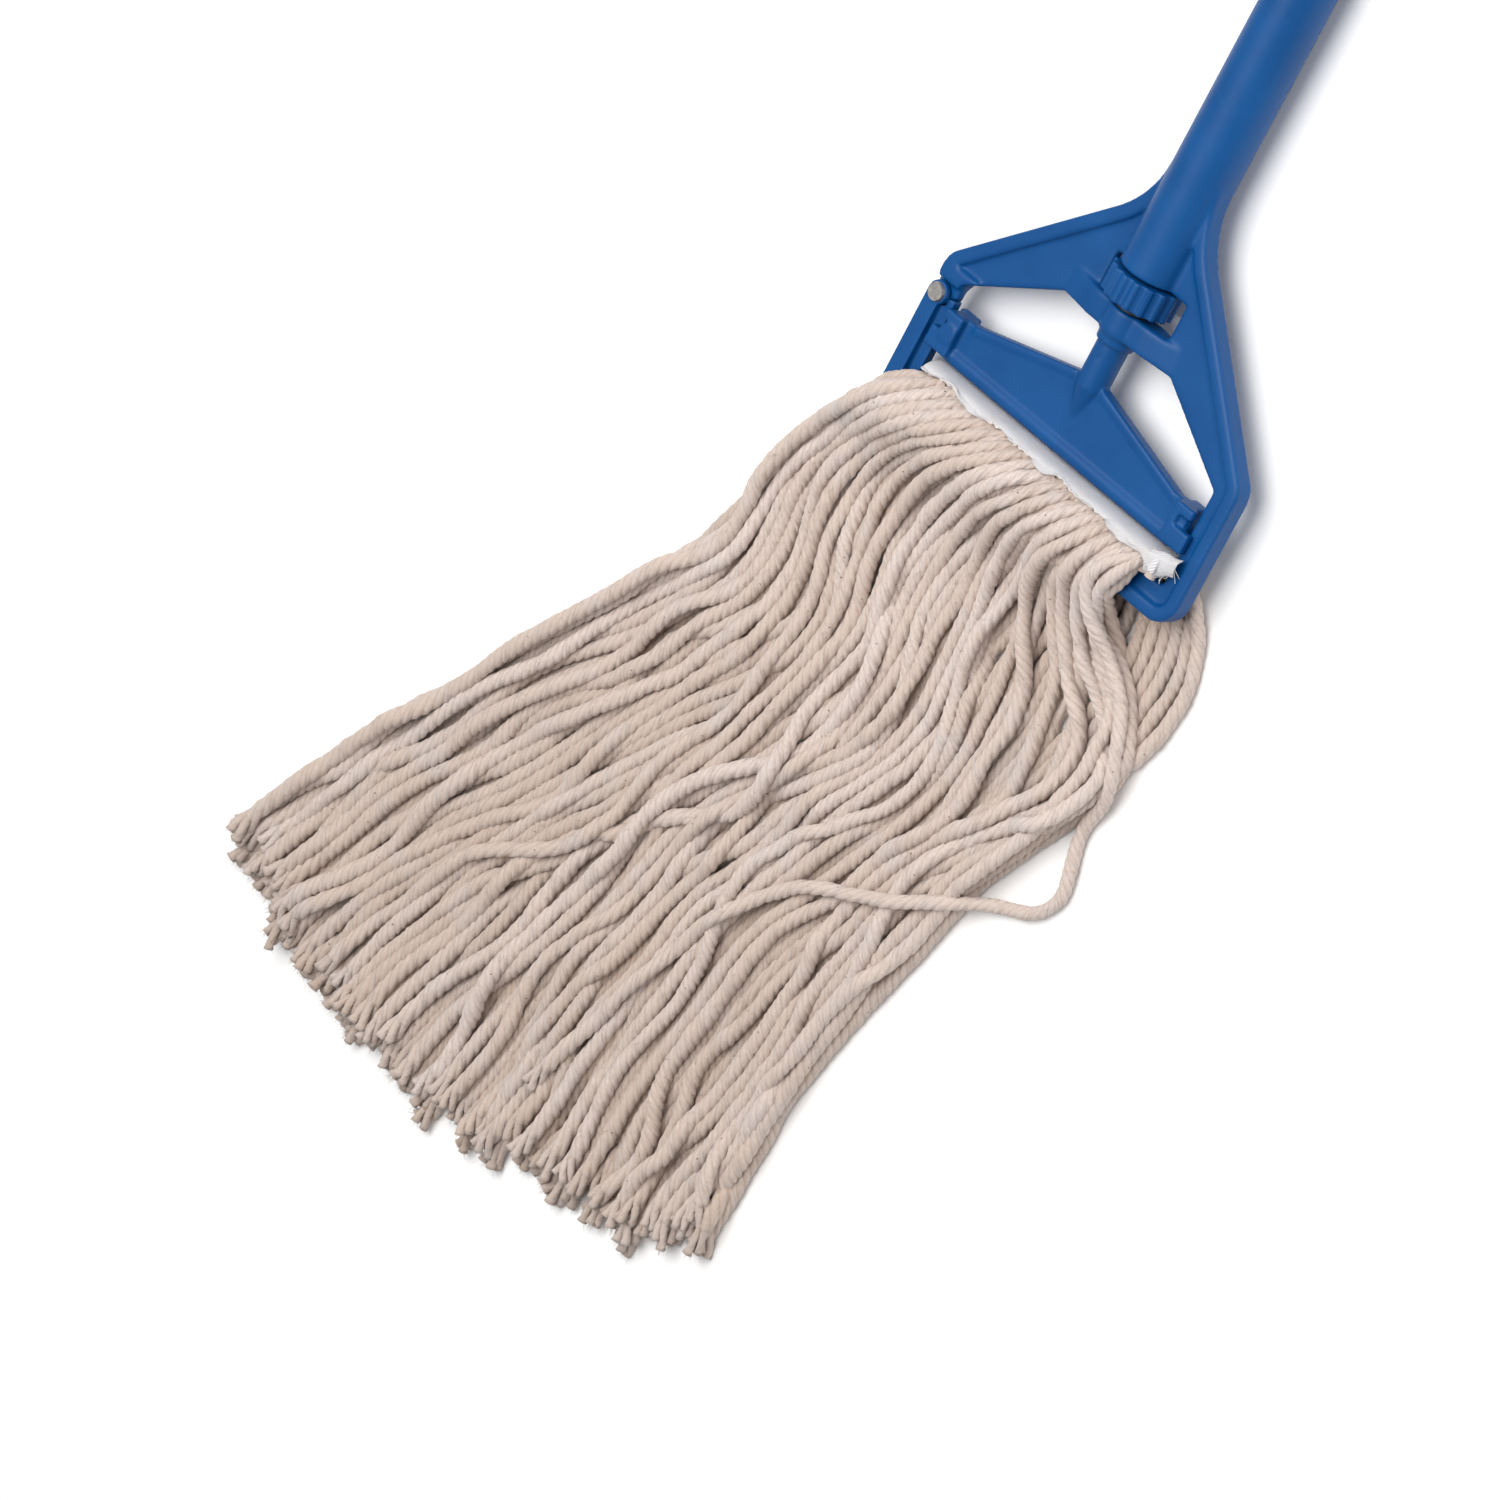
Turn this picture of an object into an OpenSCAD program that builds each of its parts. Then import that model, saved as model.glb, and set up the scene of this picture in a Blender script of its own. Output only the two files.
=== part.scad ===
// String mop with a side-gate clamp head, lying flat as it is stored.
// Axes: +Y runs along the handle away from the yarn, +Z is up, and the
// assembly is centred over its own box with the floor at Z = 0.

/* [Handle] */
// Outside diameter of the aluminium handle tube
tube_od = 24; // [22:0.5:25]
// Wall thickness of the handle tube
tube_wall = 1.2; // [0.8:0.1:2]
// Length from the crossbar's lower edge to the end of the hanging cap
mop_handle_len = 1524; // [1200:4:1600]
// Height of the handle's axis above the floor
axis_z = 18; // [17.5:0.5:20]
// Diameter of the hole that hangs the mop on a hook
hang_hole_d = 10; // [8:0.5:12]

/* [Clamp head] */
// Outside diameter of the plastic handle socket
socket_od = 28.5; // [28:0.5:32]
// Length of the socket above the point where the arms begin
socket_len = 110; // [90:5:150]
// Half of the head's overall width
head_half_w = 90.5; // [88:0.5:94]
// Thickness of the moulded outer rim
rim_t = 10; // [9:0.5:11]
// Width of the moulded outer rim
rim_w = 6.5; // [5:0.5:7]
// Thickness of the thin web inside the rim
web_t = 5; // [4:0.5:5]
// Outside diameter of the thumbwheel
wheel_d = 33; // [30:0.5:34]
// Number of finger scallops round the thumbwheel
wheel_scallops = 16; // [10:1:20]
// Diameter of the post that pushes the clamp plate
post_d = 14.2; // [13:0.2:14.2]

/* [Yarn] */
// Thickness of the squeezed yarn fold between clamp and crossbar
fold_depth = 11.1; // [10:0.1:11.1]
// Farthest reach of the yarn ends below the arm junction
yarn_reach = 562; // [500:2:600]

/* [Hidden] */
$fn = 48;

blue = [0.11, 0.37, 0.65];
steel = [0.72, 0.72, 0.74];
cream = [0.87, 0.83, 0.76];

// Gap that keeps neighbouring solids apart
gap = 0.4;
tube_r = tube_od / 2;
socket_r = socket_od / 2;
socket_bore_r = tube_r + 0.03;

// Head layout: every y is measured from the arm junction, and the yarn is at negative y
window_top = -38;
window_bottom = -54.5;
window_half_w = 23.5;
bridge_bottom = -66.5;
bridge_half_w = 32.5;
rail_inner = head_half_w - 13.5;
corner_y = -92.5;
bar_top = -138;
bar_bottom = -152.5;
arm_crossing = 5.4;
corner_r = 12;
neck_r = 45;

// Gate hinge
ear_r = 5.2;
ear_t = 12;
pin_r = 2.5;
pin_x = -(head_half_w - ear_r - 0.05);
pin_y = -101;
pin_head_r = 4.3;
pin_head_t = 1.3;
washer_t = 1;
tongue_r = 5;
gate_rim_w = 8;
gate_end = bar_bottom - 2;
arm_foot = pin_y + ear_r + 2;
running = 0.05;

// Thumbwheel and screw
wheel_t = 12.5;
wheel_top = window_top - 1.1;
screw_r = 4;
screw_len = 52;
screw_top = -35;
nut_r = 7;
screw_pin_y = -78;
screw_pin_r = 1.5;
post_r = post_d / 2;
post_top = -65.5;
clamp_edge = -124.2;
clamp_half_w = 75;
prong_reach = 79.8;
prong_gap = 0.4;
prong_t = 3.8;
lug_x = 66.5;
lug_w = 4;
lug_top = -103;

// Handle: the far end is where the hanging cap stops
cap_end = bar_bottom + mop_handle_len;
cap_len = 60;
tube_start = -16;
tube_end = cap_end - 26;
eye_y = cap_end - 18;
eye_w = 2 * axis_z;
eye_t = 12;
rivet_y = socket_len - 14;
rivet_r = 2.4;
rivet_head_r = 4;
rivet_seat_z = socket_r - 0.6;

// Yarn pile outline: stations run from the crossbar to the cut ends
station_y = [bar_top - 0.3, -165, -205, -250, -300, -390, -470];
left_x = [-76, -102, -122, -140, -162, -218, -264];
right_x = [78, 100, 102, 88, 70, 46, 36];
front_low = [25, 24.8, 16, 12, 9, 8, 8];
front_high = [36, 38, 34, 28, 25, 23, 21];
back_high = [11.4, 11.4, 11, 9.5, 7.5, 7, 7];
end_high = 16;
end_left_x = -298;
end_right_x = 34;
longest_share = 0.42;
front_count = 5;
back_count = 3;

// Single strand that loops out of the pile on the right, lying on the floor
strand_r = 3.5;
loop_route = [[104, -215], [102, -245], [98, -270], [91, -292], [80, -306], [68, -311]];

// The box of the whole mop, which puts the origin under its middle
box_left = end_left_x + gap / 2;
box_right = max([for (i = [0:len(loop_route) - 1]) for (p = loop_ring(i)) p.x]);
box_front = min([for (count = [front_count, back_count]) for (n = [0:count]) end_y(n / count)]);
origin_x = -(box_left + box_right) / 2;
origin_y = -(cap_end + box_front) / 2;

module place() {
    translate([origin_x, origin_y, axis_z]) children();
}

// Cylinder along +Y that starts at y
module rod_y(y, len, r) {
    translate([0, y, 0]) rotate([-90, 0, 0]) cylinder(h = len, r = r);
}

// Flat plate of the given thickness, centred on the head's middle plane
module slab(t) {
    translate([0, 0, -t / 2]) linear_extrude(t) children();
}

function arc_points(cx, cy, r, a0, a1, steps = 12) =
    [for (i = [0:steps]) let (a = a0 + (a1 - a0) * i / steps) [cx + r * cos(a), cy + r * sin(a)]];

// Right half of the yoke's outer outline: neck, sloping arm, shoulder and rail
neck_run = neck_r * tan(22.5);
neck_corner_y = arm_crossing - socket_r;
shoulder_run = corner_r * tan(22.5);
shoulder_y = arm_crossing - head_half_w;

function half_outline(foot_y) = concat(
    [[0, neck_corner_y + neck_run]],
    arc_points(socket_r + neck_r, neck_corner_y + neck_run, neck_r, 180, 225),
    arc_points(head_half_w - corner_r, shoulder_y - shoulder_run, corner_r, 45, 0),
    [[head_half_w, foot_y], [0, foot_y]]);

module right_profile() {
    polygon(half_outline(bar_bottom + corner_r));
    translate([0, bar_bottom]) square([head_half_w - corner_r, corner_r + 1]);
    translate([head_half_w - corner_r, bar_bottom + corner_r]) circle(r = corner_r);
}

module left_profile() {
    mirror([1, 0]) polygon(half_outline(arm_foot));
    translate([-rail_inner + 0.6, bar_bottom]) square([rail_inner, arm_foot - bar_bottom + 1]);
}

module head_outline() {
    right_profile();
    left_profile();
}

// Space inside the head where the clamp plate works
module head_opening() {
    polygon([[-bridge_half_w, bridge_bottom], [bridge_half_w, bridge_bottom], [rail_inner, corner_y],
        [rail_inner, bar_top], [-head_half_w - 5, bar_top], [-head_half_w - 5, arm_foot - 0.2],
        [-rail_inner, arm_foot - 0.2], [-rail_inner, corner_y]]);
}

module wheel_window() {
    translate([-window_half_w, window_bottom]) square([2 * window_half_w, window_top - window_bottom]);
}

// Thin web, with the round tongue that the gate's ears straddle
module yoke_web() {
    slab(web_t) {
        difference() {
            head_outline();
            head_opening();
        }
        translate([pin_x - tongue_r, pin_y + gap]) square([tongue_r - pin_x - rail_inner, arm_foot - pin_y]);
        translate([pin_x, pin_y]) circle(r = tongue_r);
        translate([-rail_inner - 7, bar_bottom + 3]) square([10, bar_top - bar_bottom - 6]);
    }
}

// Thick rim round the outside of the yoke
module yoke_rim() {
    slab(rim_t) difference() {
        head_outline();
        offset(delta = -rim_w) head_outline();
        head_opening();
    }
}

// Handle socket, bridge below the wheel window and the boss that guides the post
module yoke_core() {
    rod_y(window_top, socket_len - window_top, socket_r);
    slab(rim_t + 3) translate([-bridge_half_w, bridge_bottom])
        square([2 * bridge_half_w, window_bottom - bridge_bottom]);
    rod_y(bridge_bottom, window_bottom - bridge_bottom, post_r + 2.9);
    rod_y(-71.5, bridge_bottom + 71.6, post_r + 1.4);
}

module yoke_frame() {
    color(blue) difference() {
        union() {
            yoke_web();
            yoke_rim();
            yoke_core();
        }
        translate([0, 0, -20]) linear_extrude(40) wheel_window();
        rod_y(tube_start, socket_len - tube_start + 1, socket_bore_r);
        rod_y(window_top - 1, tube_start - window_top + 2, screw_r + 0.4);
        rod_y(-72, window_bottom + 73, post_r + running);
        translate([pin_x, pin_y, -20]) cylinder(h = 40, r = pin_r);
        translate([0, rivet_y, -20]) cylinder(h = 40, r = rivet_r);
    }
}

module handle_tube() {
    color(blue) difference() {
        rod_y(tube_start + 0.1, tube_end - tube_start, tube_r);
        rod_y(tube_start - 1, tube_end - tube_start + 3, tube_r - tube_wall);
        translate([0, rivet_y, -20]) cylinder(h = 40, r = rivet_r);
    }
}

// Plastic cap on the far end, with an upright eye
module hanging_cap() {
    color(blue) difference() {
        union() {
            rod_y(cap_end - cap_len, cap_len - 26, tube_r + 2);
            translate([-eye_t / 2, eye_y, 0]) rotate([0, 90, 0]) cylinder(h = eye_t, r = eye_w / 2);
            translate([-eye_t / 2, eye_y - 16, -14]) cube([eye_t, 16, 28]);
        }
        rod_y(cap_end - cap_len - 1, tube_end - cap_end + cap_len + 1.1, tube_r + 0.03);
        translate([-eye_t, eye_y, 0]) rotate([0, 90, 0]) cylinder(h = 2 * eye_t, r = hang_hole_d / 2);
    }
}

// One through rivet that locks the tube in the socket, with a head on each side
module socket_rivets() {
    color(steel) for (side = [0, 180]) rotate([0, side, 0]) {
        translate([0, rivet_y, tube_r - tube_wall])
            cylinder(h = rivet_seat_z - tube_r + tube_wall, r = rivet_r);
        translate([0, rivet_y, rivet_seat_z]) cylinder(h = 1.8, r1 = rivet_head_r, r2 = rivet_head_r - 1.2);
    }
}

// Gate lever that closes the left side: ears at the top, cheeks at the latch end
module side_gate() {
    color(blue) difference() {
        union() {
            translate([pin_x, pin_y, -ear_t / 2]) cylinder(h = ear_t, r = ear_r);
            translate([-head_half_w, gate_end, -ear_t / 2]) cube([gate_rim_w, pin_y - gate_end, ear_t]);
            translate([-head_half_w, gate_end, -web_t / 2])
                cube([head_half_w - rail_inner, pin_y - gate_end, web_t]);
            translate([-head_half_w, gate_end, -ear_t / 2])
                cube([head_half_w - rail_inner, bar_top - gate_end - 1, ear_t]);
        }
        translate([pin_x, pin_y, -web_t / 2 - prong_gap])
            cylinder(h = web_t + 2 * prong_gap, r = tongue_r + 0.5);
        translate([pin_x - 8, pin_y - tongue_r - 0.5, -web_t / 2 - prong_gap])
            cube([8, 2 * tongue_r + 1, web_t + 2 * prong_gap]);
        translate([-head_half_w + 5, gate_end - 1, -web_t / 2 - prong_gap])
            cube([20, bar_top - gate_end + 1.5, web_t + 2 * prong_gap]);
        translate([pin_x, pin_y, -20]) cylinder(h = 40, r = pin_r + running);
    }
}

module hinge_pin() {
    color(steel) translate([pin_x, pin_y, 0]) {
        translate([0, 0, -ear_t / 2 - washer_t - 0.6]) cylinder(h = ear_t + washer_t + 0.8, r = pin_r);
        translate([0, 0, ear_t / 2 + 0.1]) cylinder(h = pin_head_t, r1 = pin_head_r, r2 = pin_head_r - 0.5);
    }
}

module hinge_washer() {
    color(steel) translate([pin_x, pin_y, -ear_t / 2 - washer_t - 0.1]) difference() {
        cylinder(h = washer_t, r = pin_head_r);
        translate([0, 0, -1]) cylinder(h = washer_t + 2, r = pin_r);
    }
}

// Two equal washers that take the wheel's thrust at the window's ends
module thrust_washers() {
    color(steel) for (y = [window_top - 1, window_bottom]) difference() {
        rod_y(y, 1, 8.6);
        rod_y(y - 1, 3, screw_r + 0.4);
    }
}

module thumbwheel() {
    scallop_r = wheel_d * 0.075;
    color(blue) difference() {
        rod_y(wheel_top - wheel_t, wheel_t, wheel_d / 2);
        for (i = [0:wheel_scallops - 1]) rotate([0, (i + 0.5) * 360 / wheel_scallops, 0])
            translate([wheel_d / 2 + scallop_r * 0.45, wheel_top - wheel_t - 1, 0])
                rotate([-90, 0, 0]) cylinder(h = wheel_t + 2, r = scallop_r, $fn = 20);
        rod_y(wheel_top - wheel_t - 1, wheel_t + 2, nut_r);
    }
}

module wheel_nut() {
    color("goldenrod") difference() {
        rod_y(wheel_top - wheel_t, wheel_t, nut_r);
        rod_y(wheel_top - wheel_t - 1, wheel_t + 2, screw_r + running);
    }
}

module drive_screw() {
    color(steel) difference() {
        rod_y(screw_top - screw_len, screw_len, screw_r);
        translate([0, screw_pin_y, -10]) cylinder(h = 20, r = screw_pin_r);
    }
}

// Cross pin that locks the screw in the post
module screw_pin() {
    color(steel) translate([0, screw_pin_y, -post_r + 0.5]) cylinder(h = 2 * post_r - 1, r = screw_pin_r);
}

// End of the clamp plate: a solid lug, with prongs that straddle a rail's thin web
module clamp_prongs() {
    slab(web_t + 2 * (prong_gap + prong_t)) translate([lug_x, clamp_edge + 2.5])
        square([lug_w, lug_top - clamp_edge - 2.5]);
    for (side = [-1, 1]) translate([0, 0, side * (web_t / 2 + prong_gap + prong_t / 2)]) slab(prong_t) {
        translate([lug_x, clamp_edge + 2.5]) square([prong_reach - lug_x, 9]);
        translate([lug_x, lug_top - 4.5]) square([clamp_half_w + 2 - lug_x, 4.5]);
    }
}

module clamp_plate() {
    color(blue) difference() {
        union() {
            slab(web_t) polygon([[0, clamp_edge + 1], [clamp_half_w, clamp_edge + 2.5],
                [clamp_half_w, lug_top], [62, lug_top], [8, -89], [-8, -89], [-62, lug_top],
                [-clamp_half_w, lug_top], [-clamp_half_w, clamp_edge + 2.5]]);
            for (side = [-1, 1]) slab(web_t + 3) polygon([[side * 8, -89], [side * 62, lug_top],
                [side * 62, lug_top - 3.4], [side * 8, -92.4]]);
            translate([-clamp_half_w + 5, clamp_edge + 4, 0]) rotate([0, 90, 0])
                cylinder(h = 2 * clamp_half_w - 10, r = 4);
            rod_y(-92, 92 + post_top, post_r);
            translate([0, -92, 0]) rotate([90, 0, 0]) cylinder(h = 18, r1 = post_r, r2 = 1.5);
            clamp_prongs();
            mirror([1, 0, 0]) clamp_prongs();
        }
        rod_y(screw_top - screw_len, screw_len + 1, screw_r);
        translate([0, screw_pin_y, -10]) cylinder(h = 20, r = screw_pin_r);
    }
}

// Woven tape folded over the yarn: a top wall and two side walls
module headband() {
    color("white") translate([-71, bar_top + 1, 0]) difference() {
        translate([0, 0, -13.4]) cube([146, fold_depth + 1.3, 26.8]);
        translate([-1, -1, -11.7]) cube([148, fold_depth + 0.6, 23.4]);
    }
}

module yarn_fold() {
    color(cream) translate([-74, bar_top + 0.3, -11.5]) cube([150.6, fold_depth, 23]);
}

// Point on the pile's outline at share t of its width
function pile_x(i, t) = left_x[i] + (right_x[i] - left_x[i]) * t;
function end_x(t) = end_left_x + (end_right_x - end_left_x) * t;
function end_y(t) = -yarn_reach + pow(t - longest_share, 2) * (t < longest_share ? 200 : 130);

// Closed solid through rings of equal point count, laid one after another
module ring_solid(rings) {
    count = len(rings);
    size = len(rings[0]);
    points = [for (ring = rings) for (p = ring) p];
    walls = [for (i = [0:count - 2]) for (k = [0:size - 1]) let (next = (k + 1) % size)
        [size * i + k, size * i + next, size * (i + 1) + next, size * (i + 1) + k]];
    polyhedron(points, concat([[for (k = [size - 1:-1:0]) k]], walls,
        [[for (k = [0:size - 1]) size * (count - 1) + k]]), convexity = 6);
}

function bundle_ring(a, b, low, high) =
    [[a.x, a.y, low - axis_z], [b.x, b.y, low - axis_z], [b.x, b.y, high - axis_z], [a.x, a.y, high - axis_z]];

// One bundle of yarn between shares ta and tb of the pile's width
module bundle(ta, tb, low, high, end_low) {
    last = len(station_y) - 1;
    color(cream) ring_solid(concat(
        [for (i = [0:last]) bundle_ring([pile_x(i, ta) + gap / 2, station_y[i]],
            [pile_x(i, tb) - gap / 2, station_y[i]], low[i], high[i])],
        [bundle_ring([end_x(ta) + gap / 2, end_y(ta)], [end_x(tb) - gap / 2, end_y(tb)], end_low,
            end_low == 0 ? high[last] : end_high)]));
}

module front_bundle(n) {
    bundle((n - 1) / front_count, n / front_count, front_low, front_high, front_low[6]);
}

module back_bundle(n) {
    bundle((n - 1) / back_count, n / back_count, [for (y = station_y) 0], back_high, 0);
}

function loop_ring(i) =
    let (a = loop_route[max(i - 1, 0)], b = loop_route[min(i + 1, len(loop_route) - 1)],
        across = [b.y - a.y, a.x - b.x] / norm(b - a))
    [for (k = [0:7]) [loop_route[i].x + across.x * strand_r * cos(45 * k),
        loop_route[i].y + across.y * strand_r * cos(45 * k), strand_r * (1 + sin(45 * k)) - axis_z]];

module loose_yarn() {
    color(cream) ring_solid([for (i = [0:len(loop_route) - 1]) loop_ring(i)]);
}

place() handle_tube();
place() hanging_cap();
place() socket_rivets();
place() yoke_frame();
place() side_gate();
place() hinge_pin();
place() hinge_washer();
place() thrust_washers();
place() thumbwheel();
place() wheel_nut();
place() drive_screw();
place() screw_pin();
place() clamp_plate();
place() headband();
place() yarn_fold();
place() front_bundle(1);  // front_yarn_1
place() front_bundle(2);  // front_yarn_2
place() front_bundle(3);  // front_yarn_3
place() front_bundle(4);  // front_yarn_4
place() front_bundle(5);  // front_yarn_5
place() back_bundle(1);  // back_yarn_1
place() back_bundle(2);  // back_yarn_2
place() back_bundle(3);  // back_yarn_3
place() loose_yarn();
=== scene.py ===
import bpy
import bmesh
import math
import numpy as np
from mathutils import Vector, Matrix


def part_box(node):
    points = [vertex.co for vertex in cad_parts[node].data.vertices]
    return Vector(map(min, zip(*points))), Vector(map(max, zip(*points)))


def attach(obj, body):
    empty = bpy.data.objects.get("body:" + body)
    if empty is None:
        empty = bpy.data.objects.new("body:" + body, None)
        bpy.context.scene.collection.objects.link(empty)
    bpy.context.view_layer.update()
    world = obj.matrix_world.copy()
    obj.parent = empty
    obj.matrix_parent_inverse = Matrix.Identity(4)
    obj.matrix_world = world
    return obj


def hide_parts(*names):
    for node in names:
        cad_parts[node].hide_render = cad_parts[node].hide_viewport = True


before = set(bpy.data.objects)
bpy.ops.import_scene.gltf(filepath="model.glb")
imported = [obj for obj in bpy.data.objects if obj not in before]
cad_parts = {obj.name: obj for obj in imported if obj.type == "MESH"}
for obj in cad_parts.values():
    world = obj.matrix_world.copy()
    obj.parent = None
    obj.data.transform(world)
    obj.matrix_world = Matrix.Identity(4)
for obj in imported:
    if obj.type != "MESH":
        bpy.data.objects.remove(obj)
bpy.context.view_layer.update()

SEED = 11
rng = np.random.default_rng(SEED)

# ---------------------------------------------------------------- places, from the frame
yoke_lo, yoke_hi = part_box("yoke_frame")
HEAD = Vector((yoke_hi.x - 0.0905, yoke_lo.y + 0.1525, (yoke_lo.z + yoke_hi.z) / 2))
AXIS_MM = HEAD.z * 1000


def place(points):
    """Head coordinates in mm, with height above the floor, to the row frame in metres."""
    p = np.asarray(points, float).reshape(-1, 3) * 0.001
    return p + np.array([HEAD.x, HEAD.y, 0.0])


# ---------------------------------------------------------------- materials
BLACK, WHITE = (0, 0, 0), (1, 1, 1)


def grey(v):
    return (v, v, v)


def new_material(name, rough=0.5, metallic=0.0):
    m = bpy.data.materials.new(name)
    m.use_nodes = True
    nt = m.node_tree
    bsdf = nt.nodes["Principled BSDF"]
    bsdf.inputs["Roughness"].default_value = rough
    bsdf.inputs["Metallic"].default_value = metallic
    return m, nt, bsdf


def node(nt, kind, **values):
    n = nt.nodes.new(kind)
    for key, v in values.items():
        if key in n.inputs:
            n.inputs[key].default_value = v
        else:
            setattr(n, key, v)
    return n


def coords(nt, scale=(1, 1, 1)):
    """Object coordinates in mm."""
    tc = node(nt, "ShaderNodeTexCoord")
    mp = node(nt, "ShaderNodeMapping")
    mp.inputs["Scale"].default_value = [1000 * s for s in scale]
    nt.links.new(tc.outputs["Object"], mp.inputs["Vector"])
    return mp.outputs["Vector"]


def noise(nt, vector, scale, detail=3.0, rough=0.55):
    n = node(nt, "ShaderNodeTexNoise", Scale=scale, Detail=detail, Roughness=rough)
    nt.links.new(vector, n.inputs["Vector"])
    return n.outputs["Fac"]


def ramp(nt, fac, stops):
    r = node(nt, "ShaderNodeValToRGB")
    e = r.color_ramp.elements
    while len(e) < len(stops):
        e.new(0.5)
    for el, (pos, col) in zip(e, stops):
        el.position = pos
        el.color = (*col, 1) if len(col) == 3 else col
    nt.links.new(fac, r.inputs["Fac"])
    return r.outputs["Color"]


def mix(nt, fac, a, b):
    m = node(nt, "ShaderNodeMix", data_type="RGBA")
    for sock, v in ((m.inputs["Factor"], fac), (m.inputs[6], a), (m.inputs[7], b)):
        if isinstance(v, bpy.types.NodeSocket):
            nt.links.new(v, sock)
        else:
            sock.default_value = v if isinstance(v, (int, float)) else (*v, 1)
    return m.outputs[2]


def math_node(nt, op, a, b):
    m = node(nt, "ShaderNodeMath", operation=op)
    for sock, v in ((m.inputs[0], a), (m.inputs[1], b)):
        if isinstance(v, bpy.types.NodeSocket):
            nt.links.new(v, sock)
        else:
            sock.default_value = v
    return m.outputs[0]


def blend(nt, a, a_share, b, b_share):
    """Sum of two values, each with its own share."""
    return math_node(nt, "ADD", math_node(nt, "MULTIPLY", a, a_share), math_node(nt, "MULTIPLY", b, b_share))


def bump(nt, bsdf, height, strength, distance):
    b = node(nt, "ShaderNodeBump", Strength=strength, Distance=distance)
    nt.links.new(height, b.inputs["Height"])
    nt.links.new(b.outputs["Normal"], bsdf.inputs["Normal"])


def plastic(name, base, dark, light, rough=(0.36, 0.5), grain=0.05):
    """Satin moulded plastic: faint flow marks, a fine grain and a few dull scuffs."""
    m, nt, bsdf = new_material(name)
    v = coords(nt)
    flow = noise(nt, v, 0.035, 4)
    fine = noise(nt, v, 1.6, 3)
    scuff = noise(nt, coords(nt, (0.05, 0.9, 0.5)), 0.55, 5, 0.7)
    col = mix(nt, ramp(nt, flow, [(0.3, BLACK), (0.7, WHITE)]), dark, base)
    col = mix(nt, ramp(nt, scuff, [(0.66, BLACK), (0.8, grey(0.3))]), col, light)
    nt.links.new(col, bsdf.inputs["Base Color"])
    both = blend(nt, flow, 0.6, fine, 0.4)
    nt.links.new(ramp(nt, both, [(0.3, grey(rough[0])), (0.7, grey(rough[1]))]), bsdf.inputs["Roughness"])
    bsdf.inputs["IOR"].default_value = 1.46
    bsdf.inputs["Specular IOR Level"].default_value = 0.32
    bump(nt, bsdf, both, grain, 0.0004)
    return m


def metal(name, base, dark, rough, stretch):
    """Dull metal: fine brushing along the stretch and a slow cloud in tone and gloss."""
    m, nt, bsdf = new_material(name, metallic=1.0)
    brushed = noise(nt, coords(nt, stretch), 2.2, 4)
    cloud = noise(nt, coords(nt), 0.35, 3)
    both = blend(nt, brushed, 0.5, cloud, 0.5)
    nt.links.new(ramp(nt, both, [(0.35, dark), (0.65, base)]), bsdf.inputs["Base Color"])
    nt.links.new(ramp(nt, both, [(0.3, grey(rough[0])), (0.7, grey(rough[1]))]), bsdf.inputs["Roughness"])
    bump(nt, bsdf, both, 0.15, 0.0003)
    return m


def tape_material():
    """White twill tape: fine woven ribs both ways, with faint cloudy soiling."""
    m, nt, bsdf = new_material("white_tape", 0.88)
    uv = node(nt, "ShaderNodeUVMap", uv_map="flat")
    mp = node(nt, "ShaderNodeMapping")
    mp.inputs["Scale"].default_value = (1000, 1000, 1)
    nt.links.new(uv.outputs["UV"], mp.inputs["Vector"])
    weave = []
    for turn, scale in ((0.5, 0.62), (-1.05, 0.5)):
        w = node(nt, "ShaderNodeTexWave", Scale=scale, Distortion=0.6, Detail=1.0)
        w.inputs["Detail Scale"].default_value = 2.0
        rot = node(nt, "ShaderNodeMapping")
        rot.inputs["Rotation"].default_value = (0, 0, turn)
        nt.links.new(mp.outputs["Vector"], rot.inputs["Vector"])
        nt.links.new(rot.outputs["Vector"], w.inputs["Vector"])
        weave.append(w.outputs["Fac"])
    rib = math_node(nt, "MULTIPLY", weave[0], weave[1])
    cloud = noise(nt, coords(nt), 0.12, 4)
    col = mix(nt, rib, (0.78, 0.765, 0.79), (0.95, 0.935, 0.95))
    col = mix(nt, ramp(nt, cloud, [(0.5, BLACK), (0.75, grey(0.35))]), col, (0.72, 0.66, 0.58))
    nt.links.new(col, bsdf.inputs["Base Color"])
    bsdf.inputs["Sheen Weight"].default_value = 0.2
    bump(nt, bsdf, rib, 0.9, 0.0005)
    return m


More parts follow.
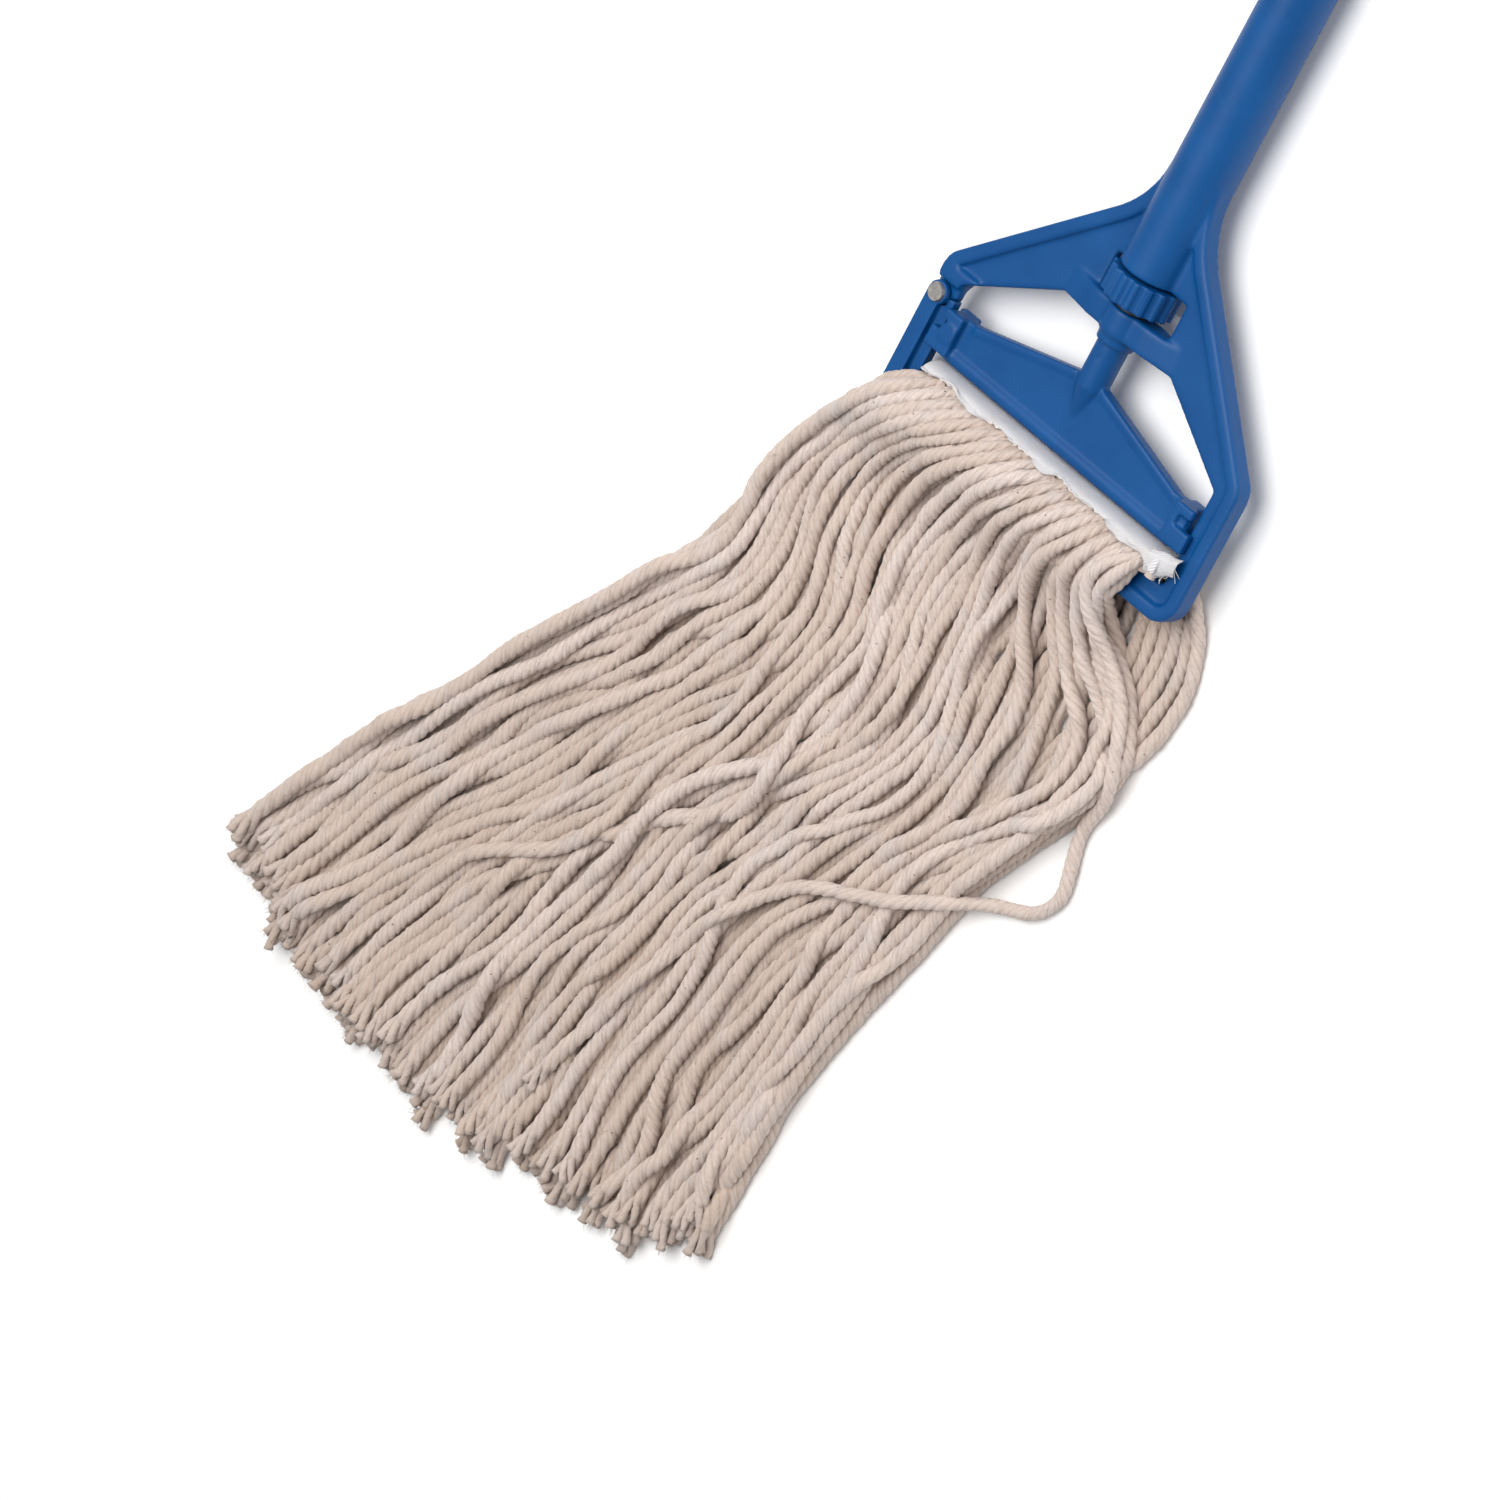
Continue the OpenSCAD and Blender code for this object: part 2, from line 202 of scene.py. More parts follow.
def yarn_material():
    """Natural cotton: fibres along the plies and specks of seed husk.

    The "tone" attribute gives each strand's tint in red, painted shade and a darkening towards the far end
    in green, and painted shade on its cut faces in blue.
    """
    m, nt, bsdf = new_material("cotton_yarn", 0.92)
    uv = node(nt, "ShaderNodeUVMap", uv_map="ply")
    fib = node(nt, "ShaderNodeMapping")
    fib.inputs["Scale"].default_value = (26, 0.5, 1)
    nt.links.new(uv.outputs["UV"], fib.inputs["Vector"])
    fibre = noise(nt, fib.outputs["Vector"], 1.0, 5, 0.62)
    v = coords(nt)
    cloud = noise(nt, v, 0.045, 3)
    lint = noise(nt, v, 0.9, 5, 0.7)
    tone = node(nt, "ShaderNodeAttribute", attribute_name="tone")
    sep = node(nt, "ShaderNodeSeparateColor")
    nt.links.new(tone.outputs["Color"], sep.inputs["Color"])
    col = mix(nt, sep.outputs["Red"], (0.66, 0.54, 0.475), (0.765, 0.66, 0.615))
    col = mix(nt, ramp(nt, fibre, [(0.32, grey(0.6)), (0.62, BLACK)]), col, (0.49, 0.375, 0.305))
    col = mix(nt, ramp(nt, cloud, [(0.52, BLACK), (0.7, grey(0.45))]), col, (0.63, 0.59, 0.59))
    col = mix(nt, ramp(nt, lint, [(0.60, BLACK), (0.75, grey(0.4))]), col, (0.78, 0.715, 0.665))
    # painted shade: green darkens ply grooves and low-lying strands towards brown
    col = mix(nt, sep.outputs["Green"], col, (0.36, 0.255, 0.175))
    husk = node(nt, "ShaderNodeTexVoronoi", Scale=0.085, feature="F1")
    wob = node(nt, "ShaderNodeMapping")
    wob.inputs["Scale"].default_value = (1, 1.9, 1.3)
    nt.links.new(v, wob.inputs["Vector"])
    nt.links.new(wob.outputs["Vector"], husk.inputs["Vector"])
    speck = ramp(nt, husk.outputs["Distance"], [(0.035, WHITE), (0.06, BLACK)])
    col = mix(nt, speck, col, (0.16, 0.10, 0.06))
    # painted shade: blue darkens the cut faces almost to black
    col = mix(nt, sep.outputs["Blue"], col, (0.05, 0.035, 0.03))
    nt.links.new(col, bsdf.inputs["Base Color"])
    bsdf.inputs["Sheen Weight"].default_value = 0.25
    bsdf.inputs["Sheen Roughness"].default_value = 0.6
    bump(nt, bsdf, blend(nt, fibre, 0.7, lint, 0.5), 0.85, 0.0009)
    return m


BLUE = plastic("blue_plastic", (0.0008, 0.073, 0.252), (0.0006, 0.058, 0.208), (0.03, 0.16, 0.38))
HANDLE = plastic("handle_blue", (0.0007, 0.047, 0.165), (0.0006, 0.039, 0.140), (0.02, 0.11, 0.28),
                 rough=(0.34, 0.46), grain=0.03)
STEEL = metal("grey_steel", (0.52, 0.50, 0.48), (0.27, 0.255, 0.25), (0.34, 0.55), (1, 1, 1))
DARK_STEEL = metal("dark_steel", (0.07, 0.085, 0.11), (0.03, 0.035, 0.05), (0.4, 0.6), (1, 1, 1))
BRASS = metal("brass", (0.72, 0.52, 0.24), (0.45, 0.31, 0.13), (0.25, 0.45), (1, 0.1, 1))
TAPE = tape_material()
YARN = yarn_material()


# ---------------------------------------------------------------- mesh helpers
def mesh_object(name, verts, faces, material, uv, tone=None, uv_name="ply"):
    """Smooth object from arrays: faces are quads or triangles, uv and tone are given per vertex."""
    me = bpy.data.meshes.new(name)
    quads = [np.asarray(f, np.int32) for f in faces if len(f)]
    loops = np.concatenate([f.ravel() for f in quads])
    totals = np.concatenate([np.full(len(f), f.shape[1], np.int32) for f in quads])
    starts = np.concatenate([[0], np.cumsum(totals)[:-1]]).astype(np.int32)
    me.vertices.add(len(verts))
    me.vertices.foreach_set("co", np.asarray(verts, np.float32).ravel())
    me.loops.add(len(loops))
    me.loops.foreach_set("vertex_index", loops)
    me.polygons.add(len(totals))
    me.polygons.foreach_set("loop_start", starts)
    me.polygons.foreach_set("loop_total", totals)
    me.update(calc_edges=True)
    me.validate()
    me.polygons.foreach_set("use_smooth", np.ones(len(me.polygons), bool))
    layer = me.uv_layers.new(name=uv_name)
    layer.data.foreach_set("uv", np.asarray(uv, np.float32)[loops].ravel())
    if tone is not None:
        attr = me.color_attributes.new("tone", "FLOAT_COLOR", "POINT")
        rgba = np.concatenate([tone, np.ones((len(tone), 1))], axis=1)
        attr.data.foreach_set("color", rgba.astype(np.float32).ravel())
    me.materials.append(material)
    o = bpy.data.objects.new(name, me)
    bpy.context.scene.collection.objects.link(o)
    return o


def frames_along(c):
    """Unit tangents and two normals carried along a line of points."""
    t = np.gradient(c, axis=0)
    t /= np.linalg.norm(t, axis=1)[:, None]
    a = np.zeros_like(t)
    ref = np.array([0.0, 0.0, 1.0])
    if abs(t[0] @ ref) > 0.9:
        ref = np.array([1.0, 0.0, 0.0])
    a[0] = ref - (ref @ t[0]) * t[0]
    a[0] /= np.linalg.norm(a[0])
    for i in range(1, len(c)):
        v = a[i - 1] - (a[i - 1] @ t[i]) * t[i]
        a[i] = v / np.linalg.norm(v)
    return t, a, np.cross(t, a)


def resample(c, step):
    """Points evenly spaced along a smooth curve through c."""
    d = np.r_[0, np.cumsum(np.linalg.norm(np.diff(c, axis=0), axis=1))]
    n = max(int(round(d[-1] / step)), 4)
    s = np.linspace(0, d[-1], n + 1)
    k = np.clip(np.searchsorted(d, s, "right") - 1, 0, len(c) - 2)
    u = ((s - d[k]) / (d[k + 1] - d[k]))[:, None]
    p = np.vstack([2 * c[0] - c[1], c, 2 * c[-1] - c[-2]])
    p0, p1, p2, p3 = p[k], p[k + 1], p[k + 2], p[k + 3]
    return 0.5 * (2 * p1 + (p2 - p0) * u + (2 * p0 - 5 * p1 + 4 * p2 - p3) * u ** 2
                  + (3 * p1 - p0 - 3 * p2 + p3) * u ** 3), s


def ring_faces(rings, around):
    """Quads between rings of points that follow one another."""
    i = np.arange(rings - 1)[:, None] * around
    k = np.arange(around)[None, :]
    n = (k + 1) % around
    return np.stack([i + k, i + n, i + around + n, i + around + k], -1).reshape(-1, 4)


def cap_faces(first, around, centre):
    """Triangles from one ring to its centre point."""
    k = np.arange(around)
    return np.stack([first + k, first + (k + 1) % around, np.full(around, centre)], -1)


# ---------------------------------------------------------------- yarn: how the strands lie
# A strand's heading in degrees, at these lengths in mm from the band, one row for each share of the
# head's width. The rows and the lengths began as a measuring script's output, and some were then
# changed by hand.
HEAD_AT = [0, 30, 60, 90, 120, 150, 180, 220, 280, 340, 430]
FLOW_AT = [0, 0.15, 0.3, 0.45, 0.6, 0.75, 0.9, 1]
FRONT_FLOW = [
    [-143, -140, -129, -114, -104, -110, -130, -130, -119, -116, -122],
    [-143, -141, -134, -102, -91, -104, -127, -127, -121, -119, -118],
    [-148, -146, -138, -112, -64, -70, -102, -125, -127, -122, -115],
    [-142, -136, -123, -92, -80, -101, -118, -124, -119, -116, -107],
    [-138, -128, -113, -90, -76, -107, -121, -122, -107, -103, -105],
    [-137, -128, -112, -78, -78, -102, -114, -119, -107, -96, -94],
    [-135, -108, -42, -50, -100, -118, -120, -115, -102, -96, -90],
    [-135, -98, -28, -68, -102, -115, -119, -115, -102, -93, -90]]
BACK_FLOW_AT = [0, 0.5, 1]
BACK_FLOW = [
    [-140, -134, -122, -112, -106, -110, -124, -128, -120, -117, -120],
    [-125, -118, -108, -104, -106, -114, -121, -122, -117, -113, -110],
    [-20, -58, -92, -104, -113, -114, -108, -103, -105, -97, -90]]
FRONT_LEN = [432, 458, 466, 452, 432, 412, 404, 398]
BACK_LEN_AT = [0, 0.45, 1]
BACK_LEN = [440, 462, 418]
SPARE = 36  # mm that the cut line trims away
N = 106  # points on each strand
FULL_LENGTH = HEAD_AT[-1] + SPARE
FRONT_COLUMNS, FRONT_LAYERS = 18, 4
BACK_COLUMNS, BACK_LAYERS = 18, 2
START_JITTER = 0.15
ROOT_Y = -128.2
LAYER_RISE = 5.4


def heading(flow, at, t, s):
    """Heading along a strand that starts at share t of the width, between the table's rows."""
    rows = np.array([np.interp(s, HEAD_AT, r) for r in flow])
    k = int(np.clip(np.searchsorted(at, t, "right") - 1, 0, len(at) - 2))
    u = (t - at[k]) / (at[k + 1] - at[k])
    return rows[k] * (1 - u) + rows[k + 1] * u


def smooth_wander(count, s, lengths, size):
    """A gentle random turn along each strand, in degrees."""
    out = np.zeros((count, len(s)))
    for wave in lengths:
        phase = rng.uniform(0, 2 * np.pi, count)[:, None]
        out += rng.normal(0, 1, count)[:, None] * np.sin(2 * np.pi * s[None, :] / wave + phase)
    return out * size / math.sqrt(len(lengths))


strands = []  # in front or not, share of the width, layer, length, start, headings
share_s = np.linspace(0, 1, N)
for col in range(FRONT_COLUMNS):
    for layer in range(FRONT_LAYERS):
        t = (col + 0.5 + 0.25 * (layer % 2) + rng.uniform(-START_JITTER, START_JITTER)) / FRONT_COLUMNS
        t = min(max(t, 0.0), 1.0)
        length = np.interp(t, FLOW_AT, FRONT_LEN) + SPARE
        start = [-63 + 136 * t, ROOT_Y, 21.4 + 1.3 * layer]
        turns = heading(FRONT_FLOW, FLOW_AT, t, share_s * length)
        strands.append([True, t, layer, length, start, turns])
for col in range(BACK_COLUMNS):
    for layer in range(BACK_LAYERS):
        t = (col + 0.3 + 0.4 * layer + rng.uniform(-START_JITTER, START_JITTER)) / BACK_COLUMNS
        t = min(max(t, 0.0), 1.0)
        length = np.interp(t, BACK_LEN_AT, BACK_LEN) + SPARE
        start = [-66 + 138 * t, -129.0, 6.5 + 1.6 * layer]
        turns = heading(BACK_FLOW, BACK_FLOW_AT, t, share_s * length)
        strands.append([False, t, layer, length, start, turns])
count = len(strands)
is_front, share_of, layer_of, length_of, starts, head = [np.array(row) for row in zip(*strands)]
s_mm = share_s * FULL_LENGTH
ease = np.clip(s_mm / 70, 0, 1)[None, :]
head += smooth_wander(count, s_mm, (60, 95, 150, 240), 7.0) * ease * np.where(is_front, 1.0, 0.8)[:, None]
top = np.where(is_front & (layer_of >= FRONT_LAYERS - 2), 1.0, 0.5)[:, None]
head += smooth_wander(count, s_mm, (80, 140), 4.5) * ease * top

# neighbours cling together in locks, and the locks part from one another
FRONT_LOCKS, BACK_LOCKS, FIRST_BACK_LOCK = 9, 6, 12
front_lock = (share_of * FRONT_LOCKS + 0.35 * (layer_of % 2)).astype(int)
lock = np.where(is_front, front_lock, FIRST_BACK_LOCK + (share_of * BACK_LOCKS).astype(int))
lock_turn = smooth_wander(lock.max() + 1, s_mm, (85, 130, 210), 8.5)
head += lock_turn[lock] * np.clip((s_mm - 30) / 70, 0, 1)[None, :]

# a few top strands drift across their neighbours and back
DRIFT_CHANCE = 0.45
for i in np.flatnonzero(is_front & (layer_of == FRONT_LAYERS - 1)):
    if rng.uniform() < DRIFT_CHANCE:
        mid, wide = rng.uniform(130, 330), rng.uniform(24, 44)
        turn = rng.choice([-1, 1]) * rng.uniform(10, 26)
        head[i] += turn * np.exp(-((s_mm - mid) / wide) ** 2)
        head[i] -= turn * np.exp(-((s_mm - mid - 2.2 * wide) / wide) ** 2)

step = length_of / (N - 1)
ang = np.radians(head)
edge0 = np.stack([np.cos(ang[:, :-1]), np.sin(ang[:, :-1])], -1) * step[:, None, None]
xy = np.zeros((count, N, 2))
xy[:, 0] = starts[:, :2]
xy[:, 1:] = xy[:, :1] + np.cumsum(edge0, axis=1)

# the loose strand on the right, from listed points: off the band, down to the floor and back over the pile
LOOSE = [(70, ROOT_Y), (55, -142), (53, -158), (66, -175), (83, -193), (92, -213), (92, -234),
         (88, -250), (92, -264), (96, -278), (89, -292), (73, -300), (56, -308), (40, -320),
         (18, -333), (-8, -346), (-30, -366), (-48, -395), (-62, -430), (-76, -468), (-88, -505)]
LOOSE_ROOT_Z = 25.5
route, _ = resample(np.array([[x, y, 0] for x, y in LOOSE], float), 1.0)
far = np.r_[0, np.cumsum(np.linalg.norm(np.diff(route, axis=0), axis=1))]
loose_len = far[-1]
loose_xy = np.stack([np.interp(share_s * loose_len, far, route[:, k]) for k in (0, 1)], -1)
xy = np.concatenate([xy, loose_xy[None]])
edge0 = np.concatenate([edge0, np.diff(loose_xy, axis=0)[None]])
is_front = np.append(is_front, True)
layer_of = np.append(layer_of, FRONT_LAYERS)
share_of = np.append(share_of, 1.0)
length_of = np.append(length_of, loose_len)
step = length_of / (N - 1)
start_z = np.append(starts[:, 2], LOOSE_ROOT_Z)
count += 1

# height of the front strands' underside: over the crossbar, then down onto the back strands
LOW_Y = [-560, -470, -390, -300, -250, -205, -165, -138]
LOW_Z = [6.5, 7, 9, 11, 12, 14, 22, 24.5]
z = np.zeros((count, N))
for i in range(count):
    y = xy[i, :, 1]
    if is_front[i]:
        rest = np.interp(y, LOW_Y, LOW_Z) + 3.2 + LAYER_RISE * layer_of[i]
    else:
        rest = np.full(N, 3.3 + LAYER_RISE * layer_of[i])
    w = np.clip((share_s * length_of[i] - 4) / 18, 0, 1)
    z[i] = start_z[i] * (1 - w) + rest * w
P = np.concatenate([xy, z[:, :, None]], -1)

# radius along a strand, pinched where the band holds it
RADIUS_AT = [0, 0.03, 0.09, 0.5, 1]
R = np.tile(np.interp(share_s, RADIUS_AT, [2.0, 2.6, 3.05, 3.2, 3.35]), (count, 1))
strand_id = np.repeat(np.arange(count), N)
point_id = np.tile(np.arange(N), count)


SELF_SKIP = 5  # points of one strand that may be near each other


def close_pairs(p, cell):
    """Pairs of points in the same or a neighbouring cell, as two index arrays."""
    q = np.floor((p - p.min(0)) / cell).astype(np.int64) + 1
    dims = q.max(0) + 2
    code = (q[:, 0] * dims[1] + q[:, 1]) * dims[2] + q[:, 2]
    order = np.argsort(code, kind="stable")
    sorted_code = code[order]
    ii, jj = [], []
    for dx in (0, 1):
        for dy in (-1, 0, 1):
            for dz in (-1, 0, 1):
                if (dx, dy, dz) < (0, 0, 0):
                    continue
                want = code + (dx * dims[1] + dy) * dims[2] + dz
                lo = np.searchsorted(sorted_code, want, "left")
                hi = np.searchsorted(sorted_code, want, "right")
                n = hi - lo
                i = np.repeat(np.arange(len(p)), n)
                first = np.repeat(np.cumsum(n) - n, n)
                j = order[np.repeat(lo, n) + np.arange(n.sum()) - first]
                if (dx, dy, dz) == (0, 0, 0):
                    keep = j > i
                    i, j = i[keep], j[keep]
                ii.append(i)
                jj.append(j)
    i, j = np.concatenate(ii), np.concatenate(jj)
    keep = (strand_id[i] != strand_id[j]) | (np.abs(point_id[i] - point_id[j]) > SELF_SKIP)
    i, j = i[keep], j[keep]
    near = np.linalg.norm(p[i] - p[j], axis=1) < cell + 1.5
    return i[near], j[near]


PIN_XY = (-85.25, -101.0)
GATE_SWEEP = 60
OVER_BAR, OVER_GATE, UNDER_BAR = 23.4, 24.6, 11.9


def keep_clear(p):
    """Floor, crossbar, hook and the room that the side gate swings through."""
    x, y, h = p[..., 0], p[..., 1], p[..., 2]
    h = np.maximum(h, R + 0.1)
    gate = (np.hypot(x - PIN_XY[0], y - PIN_XY[1]) < GATE_SWEEP) & (x < -70)
    bar = (y > -156) & (y < -134) & (x < 94)
    lift = np.where(gate, OVER_GATE, OVER_BAR) + R
    h = np.where(is_front[:, None] & (gate | bar), np.maximum(h, lift), h)
    h = np.where(~is_front[:, None] & (gate | bar), np.minimum(h, UNDER_BAR - R), h)
    p[..., 2] = h
    return p


ROUNDS = 150
CALM_ROUNDS = 25
CELL = 7.4
MOST_PUSH = 1.5
settle = np.clip((s_mm - 20) / 40, 0, 1)[None, :]
pins = P[:, :3].copy()
laid = P[..., :2].copy()
hold = 0.03 * np.interp(s_mm, [0, 60, 300, 430], [2.0, 1.0, 1.0, 0.5])[None, :, None]
hold = np.tile(hold, (count, 1, 1))
hold[-1] = 0.12

# the pile's two long sides, as the mop lies in the picture: a measuring script's output, moved by hand
SIDE_Y = [-560, -526, -453, -435, -400, -372, -330, -300, -262, -232, -198, -175, -150]
SIDE_LEFT = [-318, -299, -257, -247, -227, -210, -181, -160, -141, -131, -119, -107, -86]
SIDE_RIGHT = [22, 22, 23, 23, 30, 37, 49, 57, 74, 88, 101, 102, 101]
SIDE_PULL = 0.4
SPAN = 7  # points across which a strand's bend is kept
span0 = laid[:, SPAN:] - laid[:, :-SPAN]
for turn in range(ROUNDS):
    if turn % 4 == 0:
        pi, pj = close_pairs(P.reshape(-1, 3), CELL)
    flat = P.reshape(-1, 3)
    flat_r = R.ravel()
    d = flat[pj] - flat[pi]
    dist = np.maximum(np.linalg.norm(d, axis=1), 1e-6)
    over = flat_r[pi] + flat_r[pj] - dist
    hit = over > 0
    a, b = pi[hit], pj[hit]
    push = d[hit] * (over[hit] / dist[hit])[:, None] * 0.5
    moved = np.zeros_like(flat)
    for k in range(3):
        moved[:, k] = np.bincount(b, push[:, k], len(flat)) - np.bincount(a, push[:, k], len(flat))
    touches = np.bincount(a, minlength=len(flat)) + np.bincount(b, minlength=len(flat))
    moved *= (1.3 / np.maximum(touches, 1.3))[:, None]
    P += np.clip(moved, -MOST_PUSH, MOST_PUSH).reshape(P.shape)
    P[..., 2] -= (0.35 if turn < ROUNDS - CALM_ROUNDS else 0.1) * settle
    err = P[:, :-1, :2] + edge0 - P[:, 1:, :2]
    P[:, 1:, :2] += 0.16 * err
    P[:, :-1, :2] -= 0.16 * err
    err = P[:, :-SPAN, :2] + span0 - P[:, SPAN:, :2]
    P[:, SPAN:, :2] += 0.05 * err
    P[:, :-SPAN, :2] -= 0.05 * err
    P[..., :2] += hold * (laid - P[..., :2])
    pile = P[:-1]
    pile[..., 0] -= SIDE_PULL * np.maximum(pile[..., 0] - np.interp(pile[..., 1], SIDE_Y, SIDE_RIGHT), 0)
    pile[..., 0] += SIDE_PULL * np.maximum(np.interp(pile[..., 1], SIDE_Y, SIDE_LEFT) - pile[..., 0], 0)
    mid = (P[:, :-2] + P[:, 2:]) / 2 - P[:, 1:-1]
    P[:, 1:-1] += mid * np.array([0.06, 0.06, 0.35])
    for odd in (0, 1):
        e = P[:, odd + 1::2] - P[:, odd:-1:2][:, :P[:, odd + 1::2].shape[1]]
        long = np.linalg.norm(e, axis=2, keepdims=True)
        fix = e * (1 - step[:, None, None] / np.maximum(long, 1e-6)) * 0.5
        P[:, odd + 1::2] -= fix
        P[:, odd:-1:2][:, :fix.shape[1]] += fix
    P[:, :3] = pins
    P = keep_clear(P)
for _ in range(3):
    P[:, 2:-1] += 0.3 * ((P[:, 1:-2] + P[:, 3:]) / 2 - P[:, 2:-1])
P = keep_clear(P)


def cut_line(x):
    """Where the strands are cut, as the mop's lower outline runs: lowest at 0.42 of the width."""
    t = (x + 298) / 332 - 0.42
    return -557 + t ** 2 * np.where(t < 0, 190, 120) + 2.5 * np.sin(x / 17) + 2 * np.sin(x / 7.3)


def trimmed(i):
    """The strand's points down to the cut line."""
    p = P[i]
    upper = 3.0 + 3.6 * layer_of[i] if is_front[i] else 9.0
    line = cut_line(p[:, 0]) + upper + np.clip(rng.normal(0, 4.0), -3.5, 9)
    past = np.flatnonzero(p[:, 1] < line)
    if not len(past):
        return p
    k = past[0]
    u = (p[k - 1, 1] - line[k]) / max(p[k - 1, 1] - p[k, 1], 1e-6)
    end = p[k - 1] + (p[k] - p[k - 1]) * np.clip(u, 0.05, 1)
    return np.vstack([p[:k], end])


# ---------------------------------------------------------------- yarn: the strands' meshes
AROUND = 24  # points round a strand
PLIES = 4
LOWEST = 0.15  # mm above the floor


def lobed(k_angle, depth):
    """Radius, as a share of the full one, of four plies laid together."""
    a = (k_angle + np.pi / PLIES) % (2 * np.pi / PLIES) - np.pi / PLIES
    outer = 0.586 * np.cos(a) + np.sqrt(np.maximum(0.1716 - 0.3434 * np.sin(a) ** 2, 0))
    return 1 - depth * (1 - np.maximum(outer, 0.6))


class Batch:
    """Collects rings, caps and hairs, then makes one object."""

    def __init__(self):
        self.v, self.q, self.t, self.uv, self.tone, self.n = [], [], [], [], [], 0

    def add(self, verts, quads, tris, uv, tone):
        self.v.append(verts)
        self.uv.append(uv)
        self.tone.append(tone)
        if len(quads):
            self.q.append(quads + self.n)
        if len(tris):
            self.t.append(tris + self.n)
        self.n += len(verts)

    def build(self, name, material):
        v = np.concatenate(self.v)
        v[:, 2] = np.maximum(v[:, 2], LOWEST)
        faces = [np.concatenate(part) for part in (self.q, self.t) if part]
        return mesh_object(name, place(v), faces, material,
                           uv=np.concatenate(self.uv), tone=np.concatenate(self.tone))


def tube(batch, c, r, around, tint, painted_shade, dot, uv0, cap=True, profile=None, turn=None):
    """One swept piece; profile gives a share of r around it, turn the twist along it."""
    t, a, b = frames_along(c)
    k = np.arange(around) * 2 * np.pi / around
    turn = np.zeros(len(c)) if turn is None else turn
    angle = (k[None, :] + turn[:, None])[..., None]
    rr = r[:, None] * (np.ones((len(c), around)) if profile is None else profile)
    v = (c[:, None] + rr[..., None] * (np.cos(angle) * a[:, None] + np.sin(angle) * b[:, None]))
    s = np.r_[0, np.cumsum(np.linalg.norm(np.diff(c, axis=0), axis=1))]
    uv = np.stack([np.tile(k / (2 * np.pi), (len(c), 1)), np.tile((s + uv0)[:, None], (1, around))], -1)
    tone = np.zeros((len(c), around, 3))
    tone[..., 0] = tint
    # green: painted shade
    tone[..., 1] = painted_shade
    verts, quads = v.reshape(-1, 3), ring_faces(len(c), around)
    uv, tone, tris = uv.reshape(-1, 2), tone.reshape(-1, 3), np.zeros((0, 3), int)
    if cap:
        n = len(verts)
        inner = c[-1] + 0.55 * (v[-1] - c[-1]) + t[-1] * r[-1] * 0.12
        verts = np.vstack([verts, inner, c[-1] - t[-1] * r[-1] * 0.2])
        rim = (len(c) - 1) * around + np.arange(around)
        inn = n + np.arange(around)
        nxt = np.roll(np.arange(around), -1)
        quads = np.vstack([quads, np.stack([rim, rim[nxt], inn[nxt], inn], -1)])
        tris = cap_faces(n, around, n + around)
        uv = np.vstack([uv, np.full((around + 1, 2), uv0)])
        extra = np.zeros((around + 1, 3))
        extra[:, 0] = tint
        # painted shade on the cut face: a little over all of it, more at the centre by dot
        extra[:, 1] = 0.25
        extra[-1, 2] = dot
        tone = np.vstack([tone, extra])
    batch.add(verts, quads, tris, uv, tone)


HAIR_R = 0.095


def hair(batch, p, direction, normal, length, tint):
    """A fine loose fibre: a thin curved three-sided thread."""
    u = np.linspace(0, 1, 5)[:, None]
    bend = rng.normal(0, 0.35, 3)
    c = p + direction * length * u + (normal * 0.5 + bend * 0.4) * length * u ** 2
    r = HAIR_R * (1 - 0.6 * u[:, 0])
    tube(batch, c, r, 3, tint, 0, 0, 0, cap=False)


END_MM = 14.0  # the plies part over this length
SOFT_MM = END_MM + 26  # the twist slackens over this length
TIP_HAIRS, SIDE_HAIRS = 9, 38


def drift(s, spacing, past):
    """Smooth random value along s, drawn anew every spacing mm."""
    at = np.arange(0, s[-1] + past, spacing)
    return np.interp(s, at, rng.normal(0, 1, len(at)))


def loose_plies(batch, c, s, r, turn, tint, pile_shade):
    """The last stretch of a strand, where its plies part and end in small tufts."""
    tail = s >= s[-1] - END_MM - 5
    ct, st, rt, tt = c[tail], s[tail], r[tail], turn[tail]
    _, a, b = frames_along(c)
    a, b = a[tail], b[tail]
    open_up = np.clip((st - st[0] - 2) / (st[-1] - st[0] - 2), 0, 1) ** 1.4
    flare = rng.uniform(0.5, 1.5)
    around = 10
    k = np.arange(around) * 2 * np.pi / around
    for ply in range(PLIES):
        off = tt + ply * 2 * np.pi / PLIES + open_up * rng.normal(0, 0.25)
        spread = 0.54 * rt * (1 + open_up * flare * rng.uniform(0.5, 1.3))
        end = len(ct) - int(rng.integers(0, 3))
        path = ct + spread[:, None] * (np.cos(off)[:, None] * a + np.sin(off)[:, None] * b)
        path[:, 2] = np.maximum(path[:, 2], rt * 0.5 + 0.1)
        path, opened = path[:end], open_up[:end]
        bell = 0.14 * np.clip(opened * 4 - 3, 0, 1)
        size = rt[:end] * (0.49 + rng.uniform(0.04, 0.12) * opened + bell)
        profile = 1 + 0.07 * np.cos(3 * k)[None, :] + 0.05 * rng.normal(0, 1, (end, around))
        # painted shade: most plies get a dark cut face, and every ply some shade along it, more when low in
        # the pile
        shaded_face = float(rng.uniform() < 0.7) * 0.95
        tube(batch, path, size, around, tint, 0.14 + 0.38 * pile_shade, shaded_face, 40 * ply,
             profile=profile, turn=np.linspace(0, 5, end))
        tip, way = path[-1], path[-1] - path[-2]
        way = way / np.linalg.norm(way)
        for _ in range(TIP_HAIRS):
            side = rng.normal(0, 1, 3)
            side /= np.linalg.norm(side)
            root = tip + side * size[-1] * rng.uniform(0.3, 0.95)
            hair(batch, root, way, side * 1.1, rng.uniform(0.7, 2.6), tint)


